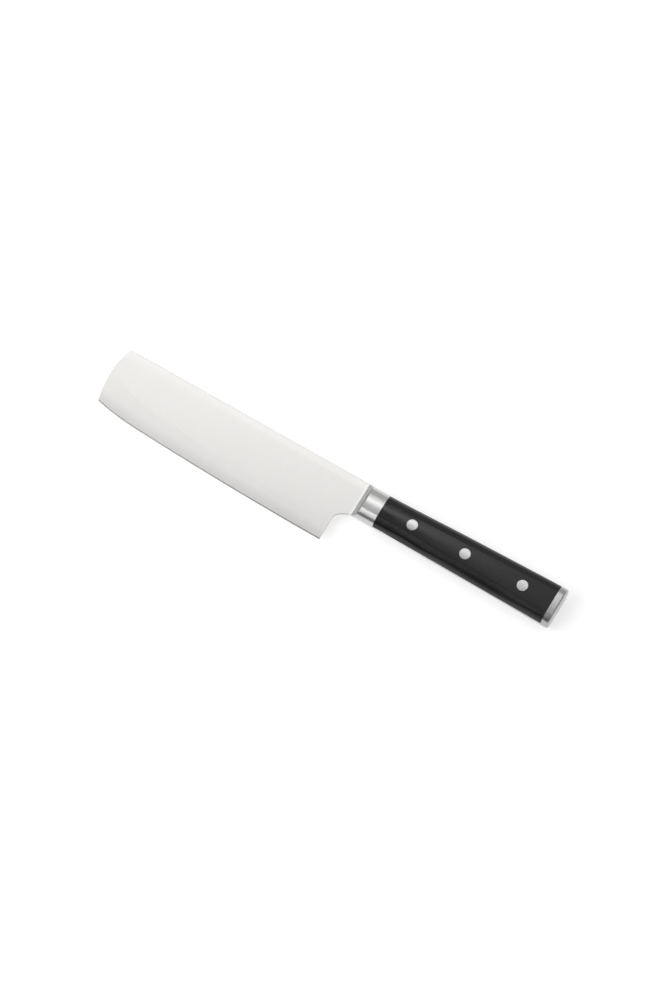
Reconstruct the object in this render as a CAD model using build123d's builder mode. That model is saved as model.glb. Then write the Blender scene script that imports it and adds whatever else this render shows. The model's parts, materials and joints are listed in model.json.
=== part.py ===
"""Nakiri knife: a full-tang vegetable knife with a bolster, two riveted scales and a butt cap.

Frame, in millimetres: the knife lies on its right side. +X runs from the tip to the butt, +Y from the
edge to the spine and +Z from the right side to the left. The origin is the centre of the outline's
length and width, on the surface that the right cheek of the handle rests on.
"""

import math
import os

from build123d import *

# Blade
blade_length = 169.0
blade_depth = 44.4
blade_thickness = 2.0
eased_depth = 5.0
eased_thickness = 1.98
ground_depth = 28.0
ground_thickness = 1.17
edge_thickness = 0.3
bevel_half_angle = 13.0
thinning_half_angle = 1.8
spine_rounding = 0.3
belly_setback = 30.3
belly_rise = 3.4
tip_edge_rise = 7.2
tip_edge_setback = 3.1
tip_front_depth = 16.0
tip_spine_setback = 3.1
tip_corner_radius = 1.5

# Heel, and the curve from it up to the bolster
heel_setback = 7.3
heel_lean = 0.3
choil_depth = 6.85
choil_bend_run = 1.8
choil_bend_rise = 3.7

# Handle outline
handle_length = 135.1
front_height = 22.1
handle_thickness = 15.0
butt_rise = 3.15
butt_flare = 0.95
spine_crown_drop = 3.1
belly_crown_drop = 5.2
front_cheek_radius = 42.0
butt_cheek_radius = 160.0
front_corner_radius = 7.4
butt_corner_radius = 6.0
linish_depth = 0.2

# Bolster, whose front sweeps up from the blade in a hollow curve and then a steep straight slope
bolster_length = 15.8
bolster_lip = 0.1
bolster_hollow_radius = 4.4
bolster_slope_angle = 73.0

# Butt cap, and the tongue at the end of the tang that is welded into it
cap_length = 4.65
cap_edge_radius = 1.2
tongue_length = 2.6
tongue_height = 12.0
tongue_end_gap = 0.2

# Rivets: a post pressed into a socket, three along the grip, which climb a little toward the butt
front_rivet_inset = 20.6
back_rivet_inset = 19.85
middle_rivet_share = 0.48
rivet_climb = 1.3
head_diameter = 6.65
head_depth = 2.6
socket_diameter = 4.8
socket_end_gap = 0.4
post_diameter = 3.2
post_end_gap = 0.6
head_clearance = 0.04
shank_clearance = 0.05
press_clearance = 0.01

overrun = 20.0
grinding_overrun = 60.0

# Shares of the grip's length, from the back of the bolster to past the butt, and of the rise and flare there
grip_shares = (0.0, 0.25, 0.5, 0.75, 1.0, 1.25)
rise_shares = (0.0, 0.25, 0.56, 0.8, 1.0, 1.2)
flare_shares = (0.0, 0.12, 0.38, 0.66, 1.0, 1.4)

# Places that follow from the sizes above
overall_length = blade_length + handle_length
overall_width = blade_depth + butt_rise
tip_x = -overall_length / 2
bolster_x = tip_x + blade_length
seam_x = bolster_x + bolster_length
butt_x = overall_length / 2
cap_x = butt_x - cap_length
spine_y = overall_width / 2 - butt_rise
edge_y = spine_y - blade_depth
neck_y = spine_y - front_height
half_handle = (handle_thickness + linish_depth) / 2
middle_z = handle_thickness - half_handle
half_blade = blade_thickness / 2
half_edge = edge_thickness / 2

heel = (bolster_x - heel_setback, edge_y)
belly = (tip_x + belly_setback, edge_y + belly_rise)
edge_end = (tip_x + tip_edge_setback, edge_y + tip_edge_rise)
tip_front = (tip_x, spine_y - tip_front_depth)
spine_end = (tip_x + tip_spine_setback, spine_y)
choil_low = (heel[0] - heel_lean, neck_y - choil_depth)
choil_bend = (choil_low[0] + choil_bend_run, choil_low[1] + choil_bend_rise)

# Hollow at the front of the left half of the bolster, in (x, height above the blade's middle)
hollow_start = (bolster_x, half_blade + bolster_lip)
hollow_end = (
    hollow_start[0] + bolster_hollow_radius * math.sin(math.radians(bolster_slope_angle)),
    hollow_start[1] + bolster_hollow_radius * (1 - math.cos(math.radians(bolster_slope_angle))),
)

# Rivet centres, and the height of the middle of the tang's tongue
handle_y = (spine_y + neck_y) / 2
front_rivet_x = seam_x + front_rivet_inset
back_rivet_x = cap_x - back_rivet_inset
middle_rivet_x = front_rivet_x + middle_rivet_share * (back_rivet_x - front_rivet_x)
rivet_points = []
for x in (front_rivet_x, middle_rivet_x, back_rivet_x):
    rivet_points.append((x, handle_y + rivet_climb * (x - seam_x) / (butt_x - seam_x)))
tongue_y = handle_y + rivet_climb

# Heights that the undersides of the rivet heads seat at, in the left and the right scale
left_seat_z = handle_thickness - head_depth
right_seat_z = 2 * middle_z - left_seat_z

middle_plane = Plane.XY.offset(middle_z)
along_plane = Plane(origin=(0, 0, middle_z), x_dir=(1, 0, 0), z_dir=(0, -1, 0))


def across_plane(x):
    """A plane across the knife at x, whose own axes run along +Y and +Z from the blade's middle."""
    return Plane(origin=(x, 0, middle_z), x_dir=(0, 1, 0), z_dir=(1, 0, 0))


# Shape of the whole handle, which the bolster, tang, scales, rivet heads and cap are all cut from
sections = [(bolster_x - overrun, 0, 0, 0), (bolster_x, 0, 0, 0)]
for along, rise, flare in zip(grip_shares, rise_shares, flare_shares):
    sections.append((seam_x + along * (butt_x - seam_x), along, rise, flare))

with BuildPart() as envelope:
    for x, along, rise, flare in sections:
        top = spine_y + rise * butt_rise
        bottom = neck_y - flare * butt_flare
        ridge_y = (top + bottom) / 2
        cheek_radius = front_cheek_radius + along * (butt_cheek_radius - front_cheek_radius)
        top_y = top - spine_crown_drop
        top_z = half_handle - cheek_radius + math.sqrt(cheek_radius**2 - (top_y - ridge_y) ** 2)
        bottom_y = bottom + belly_crown_drop
        bottom_z = half_handle - cheek_radius + math.sqrt(cheek_radius**2 - (bottom_y - ridge_y) ** 2)
        with BuildSketch(across_plane(x)):
            with BuildLine():
                ThreePointArc((top_y, -top_z), (ridge_y, -half_handle), (bottom_y, -bottom_z))
                ThreePointArc((bottom_y, -bottom_z), (bottom, 0), (bottom_y, bottom_z))
                ThreePointArc((bottom_y, bottom_z), (ridge_y, half_handle), (top_y, top_z))
                ThreePointArc((top_y, top_z), (top, 0), (top_y, -top_z))
            make_face()
            fillet(vertices(), front_corner_radius + along * (butt_corner_radius - front_corner_radius))
    loft()
    split(bisect_by=Plane.YZ.offset(butt_x), keep=Keep.BOTTOM)
    # The right cheek is linished flat along its middle, so that the knife lies steadily on it
    split(bisect_by=Plane.XY, keep=Keep.TOP)


# The cutting edge, run out past the heel and the tip, with its other sides well clear of the blade
with BuildSketch(middle_plane) as edge_side:
    with BuildLine():
        main_edge = TangentArc(heel, belly, tangent=(-1, 0))
        toe = TangentArc(belly, edge_end, tangent=main_edge % 1)
        toe_run_out = PolarLine(edge_end, grinding_overrun, direction=toe % 1)
        Polyline(
            toe_run_out @ 1,
            (tip_x - grinding_overrun, spine_y + grinding_overrun),
            (heel[0] + grinding_overrun, spine_y + grinding_overrun),
            (heel[0] + grinding_overrun, edge_y),
            heel,
        )
    make_face()

# The same, set out so that the thinning which follows the edge leaves the edge's own thickness there
with BuildSketch(middle_plane) as thinning_side:
    add(edge_side.sketch)
    offset(amount=half_edge / math.tan(math.radians(thinning_half_angle)), kind=Kind.INTERSECTION)


# The blade's right half and its mirror. Each side is eased toward the spine, flat below that, then ground
# convex down to the edge. It is thinned along the whole edge, toe included, and then bevelled.
with BuildPart() as ground_blade:
    # Side view, from the spine round the tip, along the edge and up the heel to the neck
    with BuildSketch(middle_plane):
        with BuildLine():
            Line((bolster_x, spine_y), spine_end)
            TangentArc(tip_front, spine_end, tangent=(0, 1))
            TangentArc(tip_front, edge_end, tangent=(0, -1))
            main_edge = TangentArc(heel, belly, tangent=(-1, 0))
            TangentArc(belly, edge_end, tangent=main_edge % 1)
            Line(heel, choil_low)
            choil = TangentArc(choil_low, choil_bend, tangent=(0, 1))
            TangentArc(choil_bend, (bolster_x, neck_y), tangent=choil % 1)
            Line((bolster_x, neck_y), (bolster_x, spine_y))
        make_face()
        fillet(vertices().group_by(Axis.Y)[-1].sort_by(Axis.X)[0], tip_corner_radius)
    extrude(amount=-half_blade)
    with BuildSketch(across_plane(tip_x)):
        with BuildLine():
            flat = Line(
                (spine_y - ground_depth, -ground_thickness / 2), (spine_y - eased_depth, -eased_thickness / 2)
            )
            TangentArc(flat @ 1, (spine_y, -half_blade), tangent=flat % 1)
            Polyline((spine_y, -half_blade), (spine_y, 0), (edge_y, 0), (edge_y, -half_edge))
            TangentArc(flat @ 0, (edge_y, -half_edge), tangent=-(flat % 0))
        make_face()
        fillet(vertices().group_by(Axis.X)[-1].sort_by(Axis.Y)[0], spine_rounding)
    extrude(amount=blade_length, mode=Mode.INTERSECT)
    extrude(edge_side.sketch, amount=-half_blade, taper=90 - bevel_half_angle, mode=Mode.INTERSECT)
    extrude(thinning_side.sketch, amount=-half_blade, taper=90 - thinning_half_angle, mode=Mode.INTERSECT)
    mirror(about=middle_plane)

with BuildPart() as blade_and_tang:
    with BuildSketch(middle_plane):
        with Locations((bolster_x, 0)):
            Rectangle(cap_x - bolster_x, overall_width + overrun, align=(Align.MIN, Align.CENTER))
    extrude(amount=half_blade, both=True)
    add(envelope.part, mode=Mode.INTERSECT)
    add(ground_blade.part)
    with BuildSketch(middle_plane):
        with Locations((cap_x, tongue_y)):
            Rectangle(tongue_length, tongue_height, align=(Align.MIN, Align.CENTER))
    extrude(amount=half_blade, both=True)
    with BuildSketch(middle_plane):
        with Locations(rivet_points):
            Circle(socket_diameter / 2 + shank_clearance)
    extrude(amount=handle_thickness, both=True, mode=Mode.SUBTRACT)
    blade_and_tang.part.label = "blade_and_tang"


# Left half of the bolster, from its front to its back and from the tang outwards
with BuildPart() as bolster_left:
    with BuildSketch(along_plane):
        with BuildLine():
            hollow = TangentArc(hollow_start, hollow_end, tangent=(1, 0))
            slope = PolarLine(hollow_end, handle_thickness, bolster_slope_angle)
            Polyline(
                slope @ 1,
                (seam_x, (slope @ 1).Y),
                (seam_x, half_blade),
                (bolster_x, half_blade),
                hollow_start,
            )
        make_face()
    extrude(amount=overall_width, both=True)
    add(envelope.part, mode=Mode.INTERSECT)
    bolster_left.part.label = "bolster_left"

with BuildPart() as bolster_right:
    mirror(bolster_left.part, about=middle_plane)
    split(bisect_by=Plane.XY, keep=Keep.TOP)
    bolster_right.part.label = "bolster_right"

# Left scale, with a hole for each rivet's shank and a counterbore for its head
with BuildPart() as scale_left:
    with BuildSketch(middle_plane.offset(half_blade)):
        with Locations((seam_x, 0)):
            Rectangle(cap_x - seam_x, overall_width + overrun, align=(Align.MIN, Align.CENTER))
    extrude(amount=handle_thickness)
    add(envelope.part, mode=Mode.INTERSECT)
    with BuildSketch(middle_plane):
        with Locations(rivet_points):
            Circle(socket_diameter / 2 + shank_clearance)
    extrude(amount=handle_thickness, mode=Mode.SUBTRACT)
    with BuildSketch(Plane.XY.offset(left_seat_z)):
        with Locations(rivet_points):
            Circle(head_diameter / 2 + head_clearance)
    extrude(amount=handle_thickness, mode=Mode.SUBTRACT)
    scale_left.part.label = "scale_left"

with BuildPart() as scale_right:
    mirror(scale_left.part, about=middle_plane)
    split(bisect_by=Plane.XY, keep=Keep.TOP)
    scale_right.part.label = "scale_right"

# Butt cap, with a blind slot over the tang's tongue
with BuildPart() as end_cap:
    with BuildSketch(middle_plane):
        with Locations((cap_x, 0)):
            Rectangle(cap_length, overall_width + overrun, align=(Align.MIN, Align.CENTER))
    extrude(amount=handle_thickness, both=True)
    add(envelope.part, mode=Mode.INTERSECT)
    fillet(faces().sort_by(Axis.X)[-1].edges(), cap_edge_radius)
    with BuildSketch(middle_plane):
        with Locations((cap_x, tongue_y)):
            Rectangle(
                tongue_length + tongue_end_gap,
                tongue_height + 2 * tongue_end_gap,
                align=(Align.MIN, Align.CENTER),
            )
    extrude(amount=half_blade, both=True, mode=Mode.SUBTRACT)
    end_cap.part.label = "end_cap"

sub_parts = [blade_and_tang, bolster_left, bolster_right, scale_left, scale_right, end_cap]

for number, (x, y) in enumerate(rivet_points, 1):
    # Socket, whose head is ground flush with the left scale
    with BuildPart() as rivet_socket:
        with Locations((x, y, left_seat_z)):
            Cylinder(head_diameter / 2, overrun, align=(Align.CENTER, Align.CENTER, Align.MIN))
        add(envelope.part, mode=Mode.INTERSECT)
        with Locations((x, y, left_seat_z)):
            Cylinder(
                socket_diameter / 2,
                left_seat_z - right_seat_z - socket_end_gap,
                align=(Align.CENTER, Align.CENTER, Align.MAX),
            )
            Cylinder(
                post_diameter / 2 + press_clearance,
                handle_thickness,
                align=(Align.CENTER, Align.CENTER, Align.MAX),
                mode=Mode.SUBTRACT,
            )
        rivet_socket.part.label = f"rivet_socket_{number}"

    # Post, whose head is ground flush with the right scale
    with BuildPart() as rivet_post:
        with Locations((x, y, right_seat_z)):
            Cylinder(head_diameter / 2, overrun, align=(Align.CENTER, Align.CENTER, Align.MAX))
        add(envelope.part, mode=Mode.INTERSECT)
        with Locations((x, y, right_seat_z)):
            Cylinder(
                post_diameter / 2,
                left_seat_z - right_seat_z - post_end_gap,
                align=(Align.CENTER, Align.CENTER, Align.MIN),
            )
        rivet_post.part.label = f"rivet_post_{number}"

    sub_parts.extend([rivet_socket, rivet_post])

os.makedirs("parts", exist_ok=True)
for sub_part in sub_parts:
    export_step(sub_part.part, f"parts/{sub_part.part.label}.step")
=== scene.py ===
"""Nakiri knife lying on its right side: finishes, floor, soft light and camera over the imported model."""
import json
import math

import bpy
from mathutils import Matrix, Vector

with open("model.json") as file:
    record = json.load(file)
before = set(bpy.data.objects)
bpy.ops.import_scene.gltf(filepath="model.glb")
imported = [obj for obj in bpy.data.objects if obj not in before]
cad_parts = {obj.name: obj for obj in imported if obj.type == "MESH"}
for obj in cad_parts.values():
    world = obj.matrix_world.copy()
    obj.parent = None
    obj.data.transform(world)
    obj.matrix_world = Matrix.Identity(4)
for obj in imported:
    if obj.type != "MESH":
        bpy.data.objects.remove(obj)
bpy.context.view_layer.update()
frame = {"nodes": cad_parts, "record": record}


# Small helpers for building node materials

noise_low = 0.3
noise_high = 0.7
noise_middle = 0.5
noise_roughness = 0.6
white = (1.0, 1.0, 1.0, 1.0)


def new_material(name):
    """An empty node material with its output node."""
    material = bpy.data.materials.new(name)
    material.use_nodes = True
    tree = material.node_tree
    tree.nodes.clear()
    output = tree.nodes.new("ShaderNodeOutputMaterial")
    return material, tree, output


def node(tree, kind, **settings):
    """Adds a node. Settings are its properties, or its inputs by name with spaces as underscores."""
    made = tree.nodes.new(kind)
    for key, value in settings.items():
        if hasattr(made, key):
            setattr(made, key, value)
        else:
            made.inputs[key.replace("_", " ")].default_value = value
    return made


def streaks(tree, scale, detail):
    """Noise in the knife's own metres, stretched by a scale for each axis."""
    coordinates = node(tree, "ShaderNodeTexCoord")
    mapping = node(tree, "ShaderNodeMapping", Scale=scale)
    noise = node(tree, "ShaderNodeTexNoise", Scale=1.0, Detail=detail, Roughness=noise_roughness)
    tree.links.new(coordinates.outputs["Object"], mapping.inputs["Vector"])
    tree.links.new(mapping.outputs["Vector"], noise.inputs["Vector"])
    return noise.outputs["Fac"]


def spread(tree, factor, low, high, start=noise_low, end=noise_high):
    """Maps a factor from start..end to low..high, and holds it there beyond them."""
    ranged = node(tree, "ShaderNodeMapRange", From_Min=start, From_Max=end, To_Min=low, To_Max=high)
    tree.links.new(factor, ranged.inputs["Value"])
    return ranged.outputs["Result"]


def tint(tree, factor, dark, light):
    """A colour between two colours by a noise factor."""
    ramp = node(tree, "ShaderNodeValToRGB")
    ramp.color_ramp.elements[0].position = noise_low
    ramp.color_ramp.elements[0].color = (*dark, 1.0)
    ramp.color_ramp.elements[1].position = noise_high
    ramp.color_ramp.elements[1].color = (*light, 1.0)
    tree.links.new(factor, ramp.inputs["Fac"])
    return ramp.outputs["Color"]


def add_noise(tree, first, second, weight):
    """A noise factor with another one added by weight, around the same middle."""
    centred = node(tree, "ShaderNodeMath", operation="SUBTRACT")
    centred.inputs[1].default_value = noise_middle
    tree.links.new(second, centred.inputs[0])
    total = node(tree, "ShaderNodeMath", operation="MULTIPLY_ADD")
    total.inputs[1].default_value = weight
    tree.links.new(centred.outputs[0], total.inputs[0])
    tree.links.new(first, total.inputs[2])
    return total.outputs[0]


def along_axis(tree, output, axis):
    """One axis of the knife's own coordinates: Object for the place in metres, Normal for the facing."""
    coordinates = node(tree, "ShaderNodeTexCoord")
    parts = node(tree, "ShaderNodeSeparateXYZ")
    tree.links.new(coordinates.outputs[output], parts.inputs[0])
    return parts.outputs[axis]


def combine(tree, operation, first, second):
    """A sum, difference, product or larger value of two factors."""
    made = node(tree, "ShaderNodeMath", operation=operation)
    tree.links.new(first, made.inputs[0])
    tree.links.new(second, made.inputs[1])
    return made.outputs[0]


def add_bump(tree, shader, height, distance):
    """Raises the shader's surface by a noise factor times a distance in metres."""
    bump = node(tree, "ShaderNodeBump", Strength=1.0, Distance=distance)
    tree.links.new(height, bump.inputs["Height"])
    tree.links.new(bump.outputs["Normal"], shader.inputs["Normal"])


# Places on the knife, in its own metres, that the steel's painted light and shade keep to

edge_y = -0.0238
edge_band_top_y = -0.0158
choil_end_x = 0.0160
bolster_x = 0.0170

# The cutting edge rises from the heel on in a long arc, and from the belly on in a short one too

heel_x = 0.0097
belly_x = -0.1218
long_arc_bend = 0.197
belly_bend = 3.23

# How far a face looks along an axis, from 0 for not at all to 1 for straight along it

flat_side_facing = 0.10
bevel_facing = 0.20
main_grind_facing = 0.0225
thinned_facing = 0.0295
hollow_facing = 0.80
slope_facing = 0.94


# On the blade, the colour on these faces falls to 0.32: a painted dark line, standing in for the darker
# reflection on the bevel, choil and heel.
def edge_faces(tree):
    """1 on the blade's faces that turn toward the cutting edge, the choil or the heel, and 0 elsewhere."""
    toward_edge = spread(tree, along_axis(tree, "Normal", "Y"), 1.0, 0.0, -bevel_facing, -flat_side_facing)
    toward_butt = spread(tree, along_axis(tree, "Normal", "X"), 0.0, 1.0, flat_side_facing, bevel_facing)
    before_bolster = spread(tree, along_axis(tree, "Object", "X"), 1.0, 0.0, choil_end_x, bolster_x)
    return combine(tree, "MULTIPLY", combine(tree, "MAXIMUM", toward_edge, toward_butt), before_bolster)


def arc_rise(tree, start, bend):
    """How far an arc that leaves the level at start, toward the tip, has risen there."""
    reach = node(tree, "ShaderNodeMath", operation="SUBTRACT", use_clamp=True)
    reach.inputs[0].default_value = start
    tree.links.new(along_axis(tree, "Object", "X"), reach.inputs[1])
    rise = node(tree, "ShaderNodeMath", operation="MULTIPLY")
    rise.inputs[1].default_value = bend
    tree.links.new(combine(tree, "MULTIPLY", reach.outputs[0], reach.outputs[0]), rise.inputs[0])
    return rise.outputs[0]


# On the blade, the colour here falls to 0.825 toward the cutting edge: painted shade.
def edge_band(tree):
    """1 at the cutting edge, fading to 0 over the last millimetres of the grind above it."""
    height = combine(tree, "SUBTRACT", along_axis(tree, "Object", "Y"), arc_rise(tree, heel_x, long_arc_bend))
    height = combine(tree, "SUBTRACT", height, arc_rise(tree, belly_x, belly_bend))
    return spread(tree, height, 1.0, 0.0, edge_y, edge_band_top_y)


# On the blade, the colour here is raised by 3.7 per cent: a painted highlight that evens out the shading step
# where the thinned grind meets the main one.
def thinned_grind(tree):
    """1 where the grind above the cutting edge has been thinned, and 0 on the flatter grind above that."""
    return spread(tree, along_axis(tree, "Normal", "Y"), 1.0, 0.0, -thinned_facing, -main_grind_facing)


# On the bolster, the colour on this slope is raised 1.52 times: a painted highlight.
def front_slope(tree):
    """1 on the steep slope at the bolster's front, and 0 behind it."""
    return spread(tree, along_axis(tree, "Normal", "X"), 1.0, 0.0, -slope_facing, -hollow_facing)


# Steel, ground to a satin along one direction

grain_detail = 3.0
broad_detail = 2.0
broad_weight = 0.6


def satin_steel(name, dark, light, smooth, rough, grain, broad, grain_height, painted_light_tones=()):
    """Steel with a fine satin grain and a faint unevenness. Painted light tones are places and the share that
    multiplies their colour: above 1 a painted highlight, below 1 painted shade.
    """
    material, tree, output = new_material(name)
    shader = node(tree, "ShaderNodeBsdfPrincipled", Metallic=1.0)
    fine = streaks(tree, grain, grain_detail)
    slow = streaks(tree, broad, broad_detail)
    mixed = add_noise(tree, fine, slow, broad_weight)
    colour = tint(tree, mixed, dark, light)
    for place, share in painted_light_tones:
        blend = node(tree, "ShaderNodeMix", data_type="RGBA", blend_type="MULTIPLY")
        blend.inputs[7].default_value = (share, share, share, 1.0)
        tree.links.new(place(tree), blend.inputs[0])
        tree.links.new(colour, blend.inputs[6])
        colour = blend.outputs[2]
    tree.links.new(colour, shader.inputs["Base Color"])
    tree.links.new(spread(tree, mixed, smooth, rough), shader.inputs["Roughness"])
    add_bump(tree, shader, fine, grain_height)
    tree.links.new(shader.outputs["BSDF"], output.inputs["Surface"])
    return material


blade_steel = satin_steel(
    "blade_steel_finish_and_painted_light",
    dark=(0.690, 0.680, 0.665),
    light=(0.722, 0.711, 0.696),
    smooth=0.285,
    rough=0.325,
    grain=(5200.0, 90.0, 90.0),
    broad=(60.0, 25.0, 25.0),
    grain_height=0.5e-6,
    # Painted light: the thinned grind is painted brighter, and the edge band and the faces by the edge are
    # painted darker.
    painted_light_tones=((thinned_grind, 1.037), (edge_band, 0.825), (edge_faces, 0.32)),
)
bolster_steel = satin_steel(
    "bolster_steel_finish_and_painted_highlight",
    dark=(0.562, 0.562, 0.559),
    light=(0.592, 0.592, 0.589),
    smooth=0.225,
    rough=0.255,
    grain=(220.0, 5200.0, 5200.0),
    broad=(120.0, 200.0, 200.0),
    grain_height=0.25e-6,
    # Painted highlight: the steep slope at the bolster's front is painted 1.52 times brighter.
    painted_light_tones=((front_slope, 1.52),),
)
rivet_steel = satin_steel(
    "rivet_steel_finish",
    dark=(0.410, 0.410, 0.410),
    light=(0.450, 0.450, 0.450),
    smooth=0.18,
    rough=0.24,
    grain=(400.0, 6500.0, 6500.0),
    broad=(300.0, 300.0, 300.0),
    grain_height=0.6e-6,
)
cap_steel = satin_steel(
    "cap_steel_finish",
    dark=(0.410, 0.410, 0.410),
    light=(0.446, 0.446, 0.446),
    smooth=0.21,
    rough=0.25,
    grain=(6500.0, 400.0, 400.0),
    broad=(300.0, 150.0, 150.0),
    grain_height=0.6e-6,
)


# Black acetal of the scales, linished along the handle, to a coarser finish toward the butt

acetal_dark = (0.0042, 0.0042, 0.0045)
acetal_light = (0.0080, 0.0080, 0.0084)
acetal_specular = 0.40
acetal_smooth = 0.14
acetal_rough = 0.18
butt_roughness = 0.16
coarser_from_x = 0.035
coarser_to_x = 0.14
line_scale = (500.0, 5000.0, 5000.0)
line_detail = 3.0
mottle_scale = (90.0, 140.0, 140.0)
mottle_detail = 3.0
mottle_weight = 0.7
grit_scale = (9000.0, 9000.0, 9000.0)
grit_detail = 2.0
grit_weight = 0.8
line_height = 1.0e-6


def satin_plastic(name):
    """Black plastic with fine lines, grit and a faint mottle, rougher toward the butt."""
    material, tree, output = new_material(name)
    shader = node(tree, "ShaderNodeBsdfPrincipled", Specular_IOR_Level=acetal_specular)
    lines = streaks(tree, line_scale, line_detail)
    mottle = streaks(tree, mottle_scale, mottle_detail)
    grit = streaks(tree, grit_scale, grit_detail)
    mixed = add_noise(tree, lines, mottle, mottle_weight)
    tree.links.new(tint(tree, mixed, acetal_dark, acetal_light), shader.inputs["Base Color"])
    polish = spread(tree, mixed, acetal_smooth, acetal_rough)
    coarser = spread(tree, along_axis(tree, "Object", "X"), 0.0, butt_roughness, coarser_from_x, coarser_to_x)
    tree.links.new(combine(tree, "ADD", polish, coarser), shader.inputs["Roughness"])
    add_bump(tree, shader, add_noise(tree, lines, grit, grit_weight), line_height)
    tree.links.new(shader.outputs["BSDF"], output.inputs["Surface"])
    return material


finishes = {
    "blade_steel": blade_steel,
    "bolster_steel": bolster_steel,
    "rivet_steel": rivet_steel,
    "cap_steel": cap_steel,
    "scale_plastic": satin_plastic("scale_plastic_finish"),
}
for part in frame["record"]["subparts"]:
    for slot in frame["nodes"][part["node"]].material_slots:
        slot.material = finishes[part["material_slot"]]


# A plain white floor, which keeps the knife's shadow: the camera and mirroring surfaces see it paler

floor_reach = 12.0
floor_tone = (0.8, 0.8, 0.8, 1.0)
seen_tone = (0.56, 0.56, 0.56, 1.0)
seen_glow = 0.62


def floor_material():
    """White as the camera and reflections see it, while the knife is lit by a floor of floor_tone."""
    material, tree, output = new_material("floor_finish")
    path = node(tree, "ShaderNodeLightPath")
    seen = combine(tree, "MAXIMUM", path.outputs["Is Camera Ray"], path.outputs["Is Glossy Ray"])
    seen = combine(tree, "MAXIMUM", seen, path.outputs["Is Transmission Ray"])
    diffuse = node(tree, "ShaderNodeBsdfDiffuse", Color=floor_tone)
    pale = node(tree, "ShaderNodeBsdfDiffuse", Color=seen_tone)
    glow = node(tree, "ShaderNodeEmission", Color=white, Strength=seen_glow)
    lifted = node(tree, "ShaderNodeAddShader")
    tree.links.new(pale.outputs[0], lifted.inputs[0])
    tree.links.new(glow.outputs[0], lifted.inputs[1])
    mix = node(tree, "ShaderNodeMixShader")
    tree.links.new(seen, mix.inputs[0])
    tree.links.new(diffuse.outputs[0], mix.inputs[1])
    tree.links.new(lifted.outputs[0], mix.inputs[2])
    tree.links.new(mix.outputs[0], output.inputs["Surface"])
    return material


floor_corners = [
    (-floor_reach, -floor_reach, 0.0),
    (floor_reach, -floor_reach, 0.0),
    (floor_reach, floor_reach, 0.0),
    (-floor_reach, floor_reach, 0.0),
]
floor_mesh = bpy.data.meshes.new("floor")
floor_mesh.from_pydata(floor_corners, [], [(0, 1, 2, 3)])
floor = bpy.data.objects.new("floor", floor_mesh)
bpy.context.scene.collection.objects.link(floor)
floor.data.materials.append(floor_material())


# World: a plain pale room, darker toward its front

room_front = 0.16
room_back = 0.62
room_front_y = -1.03
room_back_y = 0.38

world = bpy.data.worlds.new("room")
bpy.context.scene.world = world
world.use_nodes = True
room_tree = world.node_tree
room_tree.nodes.clear()
room = node(room_tree, "ShaderNodeBackground", Color=white)
room_output = node(room_tree, "ShaderNodeOutputWorld")
direction_y = along_axis(room_tree, "Generated", "Y")
strength = spread(room_tree, direction_y, room_front, room_back, room_front_y, room_back_y)
room_tree.links.new(strength, room.inputs["Strength"])
room_tree.links.new(room.outputs[0], room_output.inputs["Surface"])


# Lamps: three soft boxes, of even brightness, so that each shows as one smooth highlight

def stand(name, data, across, up, back, place):
    """Adds a lamp or camera at place. It looks away from back."""
    made = bpy.data.objects.new(name, data)
    bpy.context.scene.collection.objects.link(made)
    made.matrix_world = Matrix((
        (across[0], up[0], back[0], place[0]),
        (across[1], up[1], back[1], place[1]),
        (across[2], up[2], back[2], place[2]),
        (0.0, 0.0, 0.0, 1.0),
    ))
    return made


def softbox(name, place, aim, width, height, radiance):
    """A rectangular lamp at place, facing aim."""
    lamp = bpy.data.lights.new(name, "AREA")
    lamp.shape = "RECTANGLE"
    lamp.size = width
    lamp.size_y = height
    lamp.energy = radiance * math.pi * width * height
    back = (Vector(place) - Vector(aim)).normalized()
    across = Vector((0.0, 0.0, 1.0)).cross(back).normalized()
    stand(name, lamp, across, back.cross(across), back, place)


softbox(
    "overhead", place=(-0.501, 0.391, 1.20), aim=(-0.454, 0.003, 0.0),
    width=1.09, height=0.155, radiance=2.23,
)
softbox(
    "front_strip", place=(-0.79, -0.626, 1.00), aim=(-0.747, -0.002, 0.0),
    width=1.10, height=0.99, radiance=3.40,
)
softbox(
    "tip_side", place=(-1.80, 0.0, 0.586), aim=(0.0, 0.0, 0.0),
    width=0.79, height=0.73, radiance=1.11,
)


# Camera at the photograph's angle: tilted toward the edge and the butt, and rolled so that the tip points up

target = Vector((0.00356, 0.00103, 0.0075))
toward_butt = math.radians(10.0)
toward_edge = math.radians(16.0)
roll = math.radians(29.456)
distance = 2.0

back = Vector((math.sin(toward_butt), -math.sin(toward_edge), 0.0))
back.z = math.sqrt(1.0 - back.x ** 2 - back.y ** 2)
level = (Vector((1.0, 0.0, 0.0)) - back.x * back).normalized()
above = back.cross(level)
right = math.cos(roll) * level + math.sin(roll) * above
up = -math.sin(roll) * level + math.cos(roll) * above

camera_data = bpy.data.cameras.new("camera")
camera_data.sensor_fit = "VERTICAL"
camera_data.sensor_height = 36.0
camera_data.lens = 121.71
camera_data.clip_end = 50.0
bpy.context.scene.camera = stand("camera", camera_data, right, up, back, target + distance * back)
bpy.context.scene.view_settings.view_transform = "Standard"
